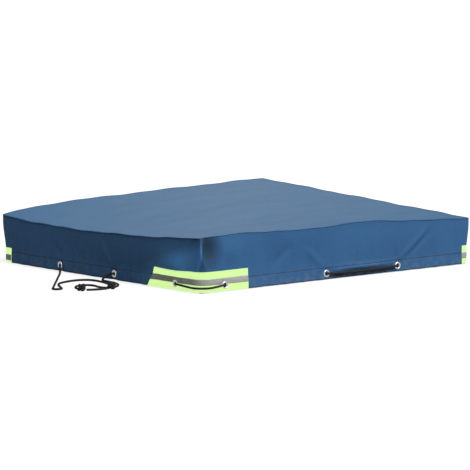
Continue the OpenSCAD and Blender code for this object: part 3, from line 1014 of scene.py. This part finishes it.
def blue_cloth(name, deep, pale, on_top, rough):
    material, tree, shader, where = new_material(name, rough)
    uv = where.outputs["UV"]
    body = where.outputs["Object"]
    u, v = apart(tree, uv)[:2]
    threads = use(tree, weave, Vector=uv, Thread=0.0011)["Height"]
    wide = spread(tree, grain_noise(tree, body, 2.6, 3.0), 0.3, 0.7)
    fine = grain_noise(tree, stretched(tree, uv, (1, 0.35, 1)), 140.0, 4.0)
    creases = grain_noise(tree, stretched(tree, uv, (1.3, 1, 1)), 7.0, 4.0, 0.5)
    creases = spread(tree, creases, 0.3, 0.7)
    if on_top:
        # painted sheen along one diagonal of the top and painted shade at two corners
        wide = painted_sheen_and_shade(tree, wide, u, v)
        across = calc(tree, "MAXIMUM", calc(tree, "ABSOLUTE", u), calc(tree, "ABSOLUTE", v))
        sewn = sew(tree, [SIDE - 0.006], calc(tree, "ADD", u, v), across)
    else:
        sewn = sew(tree, [-0.006, -0.1215, -0.1245], u, v)
    colour = mix(tree, wide, deep, pale)
    colour = tint(tree, colour, fine, 0.30, scaled(deep, 0.55))
    colour = tint(tree, colour, threads, 0.16, scaled(pale, 1.5))
    colour = tint(tree, colour, sewn, 0.55, (0.03, 0.07, 0.14, 1))
    # painted shade and light on the sides
    if not on_top:
        colour = painted_side_shading(tree, colour, body, v)
    dirt = use(tree, dust, Vector=body, Reach=0.06)["Mask"]
    colour = tint(tree, colour, dirt, 0.24, (0.42, 0.40, 0.36, 1))
    tree.links.new(colour, shader.inputs["Base Color"])
    duller = spread(tree, fine, 0.2, 0.8, rough - 0.08, rough + 0.1)
    tree.links.new(duller, shader.inputs["Roughness"])
    shader.inputs["Sheen Weight"].default_value = 0.05
    shader.inputs["Specular IOR Level"].default_value = 0.3
    shader.inputs["Sheen Roughness"].default_value = 0.5
    height = calc(tree, "ADD", times(tree, threads, 0.10), times(tree, creases, 0.8))
    height = calc(tree, "ADD", height, times(tree, sewn, -0.5))
    relief(tree, shader, height, 0.55, 0.0022)
    return material


# The top and the sides are one cloth: the top's paler blue is painted light.
TOP_DEEP, TOP_PALE = (0.058, 0.163, 0.335, 1), (0.148, 0.268, 0.420, 1)
SIDE_DEEP, SIDE_PALE = (0.034, 0.132, 0.31, 1), (0.044, 0.160, 0.355, 1)
top_cloth = blue_cloth("blue_cloth_top", TOP_DEEP, TOP_PALE, True, 0.6)
side_cloth = blue_cloth("blue_cloth_side", SIDE_DEEP, SIDE_PALE, False, 0.68)

# %% [markdown]
# ## Bright tape and silver stripe
# The tape is a fluorescent knit that turns light we can't see into light we can. It looks
# brighter than white, so most of its light is a painted glow: emission over a dim base, the
# same in shade and in light. The stripe is covered with tiny glass beads.

# %% The two tapes
def bright_tape():
    material, tree, shader, where = new_material("bright_tape", 0.5)
    uv = where.outputs["UV"]
    u, v = apart(tree, uv)[:2]
    knit = use(tree, weave, Vector=stretched(tree, uv, (1, 1.6, 1)), Thread=0.0016)["Height"]
    worn = spread(tree, grain_noise(tree, uv, 60.0, 5.0), 0.35, 0.75)
    colour = tint(tree, (0.10, 0.17, 0.05, 1), worn, 0.5, (0.08, 0.14, 0.04, 1))
    colour = tint(tree, colour, knit, 0.25, (0.14, 0.20, 0.08, 1))
    sewn = sew(tree, [0.0710, 0.0510, 0.0260, 0.0110], u, v)
    colour = tint(tree, colour, sewn, 0.6, (0.05, 0.10, 0.02, 1))
    dirt = use(tree, dust, Vector=where.outputs["Object"], Reach=0.05)["Mask"]
    colour = tint(tree, colour, dirt, 0.25, (0.30, 0.34, 0.16, 1))
    tree.links.new(colour, shader.inputs["Base Color"])
    # painted glow: the tape's emission, the same wherever light falls
    shine = tint(tree, (0.66, 0.93, 0.36, 1), worn, 0.35, (0.50, 0.82, 0.28, 1))
    shine = tint(tree, shine, sewn, 0.5, (0.40, 0.66, 0.20, 1))
    tree.links.new(shine, shader.inputs["Emission Color"])
    shader.inputs["Emission Strength"].default_value = 0.98
    tree.links.new(spread(tree, worn, 0, 1, 0.42, 0.6), shader.inputs["Roughness"])
    height = calc(tree, "SUBTRACT", times(tree, knit, 0.3), times(tree, sewn, 0.6))
    relief(tree, shader, height, 0.5, 0.0006)
    return material


def silver_stripe():
    material, tree, shader, where = new_material("silver_stripe", 0.35)
    uv = where.outputs["UV"]
    beads = tree.nodes.new("ShaderNodeTexVoronoi")
    beads.inputs["Scale"].default_value = 700
    tree.links.new(uv, beads.inputs["Vector"])
    worn = grain_noise(tree, stretched(tree, uv, (1, 3, 1)), 45.0, 6.0)
    worn = spread(tree, worn, 0.35, 0.75)
    colour = mix(tree, worn, (0.46, 0.48, 0.455, 1), (0.31, 0.325, 0.305, 1))
    colour = tint(tree, colour, beads.outputs["Distance"], 0.4, (0.6, 0.6, 0.58, 1))
    tree.links.new(colour, shader.inputs["Base Color"])
    tree.links.new(spread(tree, worn, 0, 1, 0.3, 0.5), shader.inputs["Roughness"])
    relief(tree, shader, beads.outputs["Distance"], 0.3, 0.0003)
    return material


tape_finish = bright_tape()
stripe_finish = silver_stripe()

# %% [markdown]
# ## Cord, metal and felt
# The cord's sleeve is braided: two sets of yarns wind round it in opposite directions. The
# eyelets are plated and lightly scratched, and get a little emission because the bare studio
# gives them nothing bright to mirror. The screws are zinc, and the liner is felt.

# %% Braid, plating, zinc and felt
def braided():
    material, tree, shader, where = new_material("black_braid", 0.7)
    u, v = apart(tree, where.outputs["UV"])[:2]
    along = times(tree, u, 2 * math.pi / 0.0075)
    round_it = times(tree, v, 2 * math.pi * 2)
    ways = []
    for op in ("ADD", "SUBTRACT"):
        wound = calc(tree, op, times(tree, along, 2.0), times(tree, round_it, 2))
        ways.append(calc(tree, "SINE", wound))
    yarn = spread(tree, calc(tree, "MAXIMUM", *ways), -0.5, 1)
    fuzz = grain_noise(tree, where.outputs["Object"], 900.0, 4.0)
    colour = mix(tree, yarn, (0.006, 0.006, 0.007, 1), (0.022, 0.022, 0.025, 1))
    colour = mix(tree, spread(tree, fuzz, 0.55, 0.8, 0, 0.5), colour, (0.05, 0.05, 0.055, 1))
    tree.links.new(colour, shader.inputs["Base Color"])
    tree.links.new(spread(tree, fuzz, 0.2, 0.8, 0.6, 0.85), shader.inputs["Roughness"])
    relief(tree, shader, yarn, 0.7, 0.0008)
    return material


def metal(name, colour_a, colour_b, low, high, size, glow=0.0):
    material, tree, shader, where = new_material(name, 0.3, 1.0)
    scratch = grain_noise(tree, stretched(tree, where.outputs["Object"], (1, 1, 6)), size, 6.0)
    tarnish = spread(tree, grain_noise(tree, where.outputs["Object"], size / 6, 3.0), 0.35, 0.7)
    tree.links.new(mix(tree, tarnish, colour_a, colour_b), shader.inputs["Base Color"])
    tree.links.new(spread(tree, scratch, 0.3, 0.7, low, high), shader.inputs["Roughness"])
    relief(tree, shader, scratch, 0.15, 0.0003)
    shader.inputs["Emission Color"].default_value = (1, 1, 1, 1)
    shader.inputs["Emission Strength"].default_value = glow
    return material


def felt():
    material, tree, shader, where = new_material("black_felt", 0.9)
    fibres = grain_noise(tree, where.outputs["UV"], 600.0, 6.0, 0.7)
    clumps = spread(tree, grain_noise(tree, where.outputs["UV"], 25.0, 4.0), 0.3, 0.7)
    colour = mix(tree, clumps, (0.012, 0.012, 0.013, 1), (0.028, 0.027, 0.026, 1))
    colour = tint(tree, colour, fibres, 0.35, (0.06, 0.06, 0.06, 1))
    tree.links.new(colour, shader.inputs["Base Color"])
    relief(tree, shader, fibres, 0.6, 0.0008)
    return material


braid_finish = braided()
NICKEL = (0.86, 0.86, 0.88, 1), (0.74, 0.74, 0.77, 1)
ZINC = (0.66, 0.67, 0.69, 1), (0.52, 0.53, 0.56, 1)
plating = metal("bright_plating", *NICKEL, 0.18, 0.38, 420.0, 0.28)
zinc = metal("zinc", *ZINC, 0.3, 0.5, 300.0)
felt_finish = felt()

# %% [markdown]
# ## Pine
# The box is planed pine. The grain is stretched noise along each board, with darker late wood
# lines and a few knots, and dirt near the ground. Boards run three ways, so the same group is
# placed in three materials, each turned along its board.

# %% Pine in three directions
outlets = [("Color", "Color"), ("Height", "Float"), ("Rough", "Float")]
pine, gi, go = new_group("pine", [("Vector", "Vector")], outlets)
warped = grain_noise(pine, stretched(pine, gi["Vector"], (1.2, 9, 9)), 3.0, 3.0)
rings = pine.nodes.new("ShaderNodeTexWave")
rings.wave_type = "BANDS"
rings.bands_direction = "Y"
rings.inputs["Scale"].default_value = 16
rings.inputs["Distortion"].default_value = 5.5
rings.inputs["Detail"].default_value = 3
rings.inputs["Detail Scale"].default_value = 1.2
pine.links.new(stretched(pine, gi["Vector"], (0.35, 1.3, 1.3)), rings.inputs["Vector"])
fibre = grain_noise(pine, stretched(pine, gi["Vector"], (12, 420, 420)), 1.0, 4.0)
spots = pine.nodes.new("ShaderNodeTexVoronoi")
spots.inputs["Scale"].default_value = 4.0
pine.links.new(stretched(pine, gi["Vector"], (1.0, 2.2, 2.2)), spots.inputs["Vector"])
knots = spread(pine, spots.outputs["Distance"], 0.035, 0.075, 1.0, 0.0)
late = spread(pine, rings.outputs["Fac"], 0.45, 0.95)
tone = mix(pine, spread(pine, warped, 0.3, 0.7), (0.62, 0.40, 0.19, 1), (0.70, 0.49, 0.27, 1))
tone = tint(pine, tone, late, 0.55, (0.45, 0.235, 0.085, 1))
tone = tint(pine, tone, fibre, 0.25, (0.80, 0.62, 0.40, 1))
tone = mix(pine, knots, tone, (0.16, 0.07, 0.03, 1))
pine.links.new(tone, go["Color"])
ribs = calc(pine, "ADD", times(pine, late, 0.4), times(pine, fibre, 0.6))
pine.links.new(ribs, go["Height"])
pine.links.new(spread(pine, late, 0, 1, 0.62, 0.48), go["Rough"])


def pine_board(name, turn_by):
    material, tree, shader, where = new_material(name, 0.6)
    mapping = tree.nodes.new("ShaderNodeMapping")
    mapping.inputs["Rotation"].default_value = turn_by
    tree.links.new(where.outputs["Object"], mapping.inputs["Vector"])
    out = use(tree, pine, Vector=mapping.outputs[0])
    dirt = use(tree, dust, Vector=where.outputs["Object"], Reach=0.05)["Mask"]
    colour = tint(tree, out["Color"], dirt, 0.5, (0.25, 0.19, 0.13, 1))
    tree.links.new(colour, shader.inputs["Base Color"])
    tree.links.new(out["Rough"], shader.inputs["Roughness"])
    relief(tree, shader, out["Height"], 0.35, 0.0006)
    return material


pine_x = pine_board("pine_along_x", (0, 0, 0))
pine_y = pine_board("pine_along_y", (0, 0, math.radians(90)))
pine_z = pine_board("pine_upright", (0, math.radians(90), 0))

# %% [markdown]
# ## Finish every piece
# Carried-over parts of the model keep their shape and only get a finish. New pieces ride on
# the body they belong to.

# %% Finishes on the parts of the model
def finish_node(name, material):
    node = nodes[name]
    for slot in node.material_slots:
        slot.material = material


for f, face_name in enumerate(FACES):
    board = pine_x if f % 2 == 0 else pine_y
    across = pine_y if f % 2 == 0 else pine_x
    for part_name in ("_lower_plank", "_upper_plank", "_seat"):
        finish_node(face_name + part_name, board)
    finish_node(face_name + "_bracket", across)
    finish_node(face_name + "_washers", zinc)
for corner in CORNERS:
    finish_node(corner + "_post", pine_z)
finish_node("wall_screws", zinc)
finish_node("seat_screws", zinc)


# %% Finishes and bodies of the new pieces
def finish(piece, material):
    piece.data.materials.clear()
    piece.data.materials.append(material)


def dress(piece, material, body):
    finish(piece, material)
    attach(piece, body)


for piece in list(cords.values()) + [joining, tail_end]:
    finish(piece, braid_finish)
dress(top, top_cloth, "cover")
dress(top_seam, side_cloth, "cover")
for piece in sides + corner_seams:
    dress(piece, side_cloth, "cover")
for piece in tapes:
    dress(piece, tape_finish, "cover")
for piece in stripes:
    dress(piece, stripe_finish, "cover")
for piece in metal_rings:
    dress(piece, plating, "cover")
dress(liner, felt_finish, "box")

# %% A loop over the sides that does nothing
for f, piece in enumerate(sides):
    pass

# %% [markdown]
# ## Floor and light
# A wide pale floor and one broad soft light, high above the front. The left side stays in
# shade, as it does beside a window. The floor's paper adds light of its own for the camera
# alone, so it looks pale and still takes a soft shadow, without lighting the cloth.

# %% Floor
work = bmesh.new()
bmesh.ops.create_grid(work, x_segments=2, y_segments=2, size=60)
bmesh.ops.translate(work, verts=work.verts, vec=(0, 0, -0.0002))
floor_mesh = bpy.data.meshes.new("floor")
work.to_mesh(floor_mesh)
work.free()
floor = link_piece("floor", floor_mesh)
paper = bpy.data.materials.new("paper")
paper.use_nodes = True
paper.node_tree.nodes.clear()
matte = paper.node_tree.nodes.new("ShaderNodeBsdfDiffuse")
matte.inputs["Color"].default_value = (0.32, 0.32, 0.32, 1)
glow = paper.node_tree.nodes.new("ShaderNodeEmission")
seen = paper.node_tree.nodes.new("ShaderNodeLightPath")
both = paper.node_tree.nodes.new("ShaderNodeAddShader")
sheet_out = paper.node_tree.nodes.new("ShaderNodeOutputMaterial")
own_light = times(paper.node_tree, seen.outputs["Is Camera Ray"], 0.80)
for start, end in (
    (own_light, glow.inputs["Strength"]), (matte.outputs[0], both.inputs[0]),
    (glow.outputs[0], both.inputs[1]), (both.outputs[0], sheet_out.inputs["Surface"]),
):
    paper.node_tree.links.new(start, end)
floor.data.materials.append(paper)

# %% Light
world = bpy.data.worlds.new("studio")
bpy.context.scene.world = world
world.use_nodes = True
sky = world.node_tree.nodes["Background"]
seen = world.node_tree.nodes.new("ShaderNodeLightPath")
level = spread(world.node_tree, seen.outputs["Is Camera Ray"], 0, 1, 0.15, 1.0)
world.node_tree.links.new(level, sky.inputs["Strength"])
sky.inputs["Color"].default_value = (1, 1, 1, 1)
key_data = bpy.data.lights.new("window", "SUN")
key_data.energy = 3.0
key_data.angle = math.radians(50)
key = bpy.data.objects.new("window", key_data)
key.rotation_euler = Vector((0.08, -0.60, 0.79)).to_track_quat("Z", "Y").to_euler()
bpy.context.scene.collection.objects.link(key)
bpy.context.scene.view_settings.view_transform = "Standard"
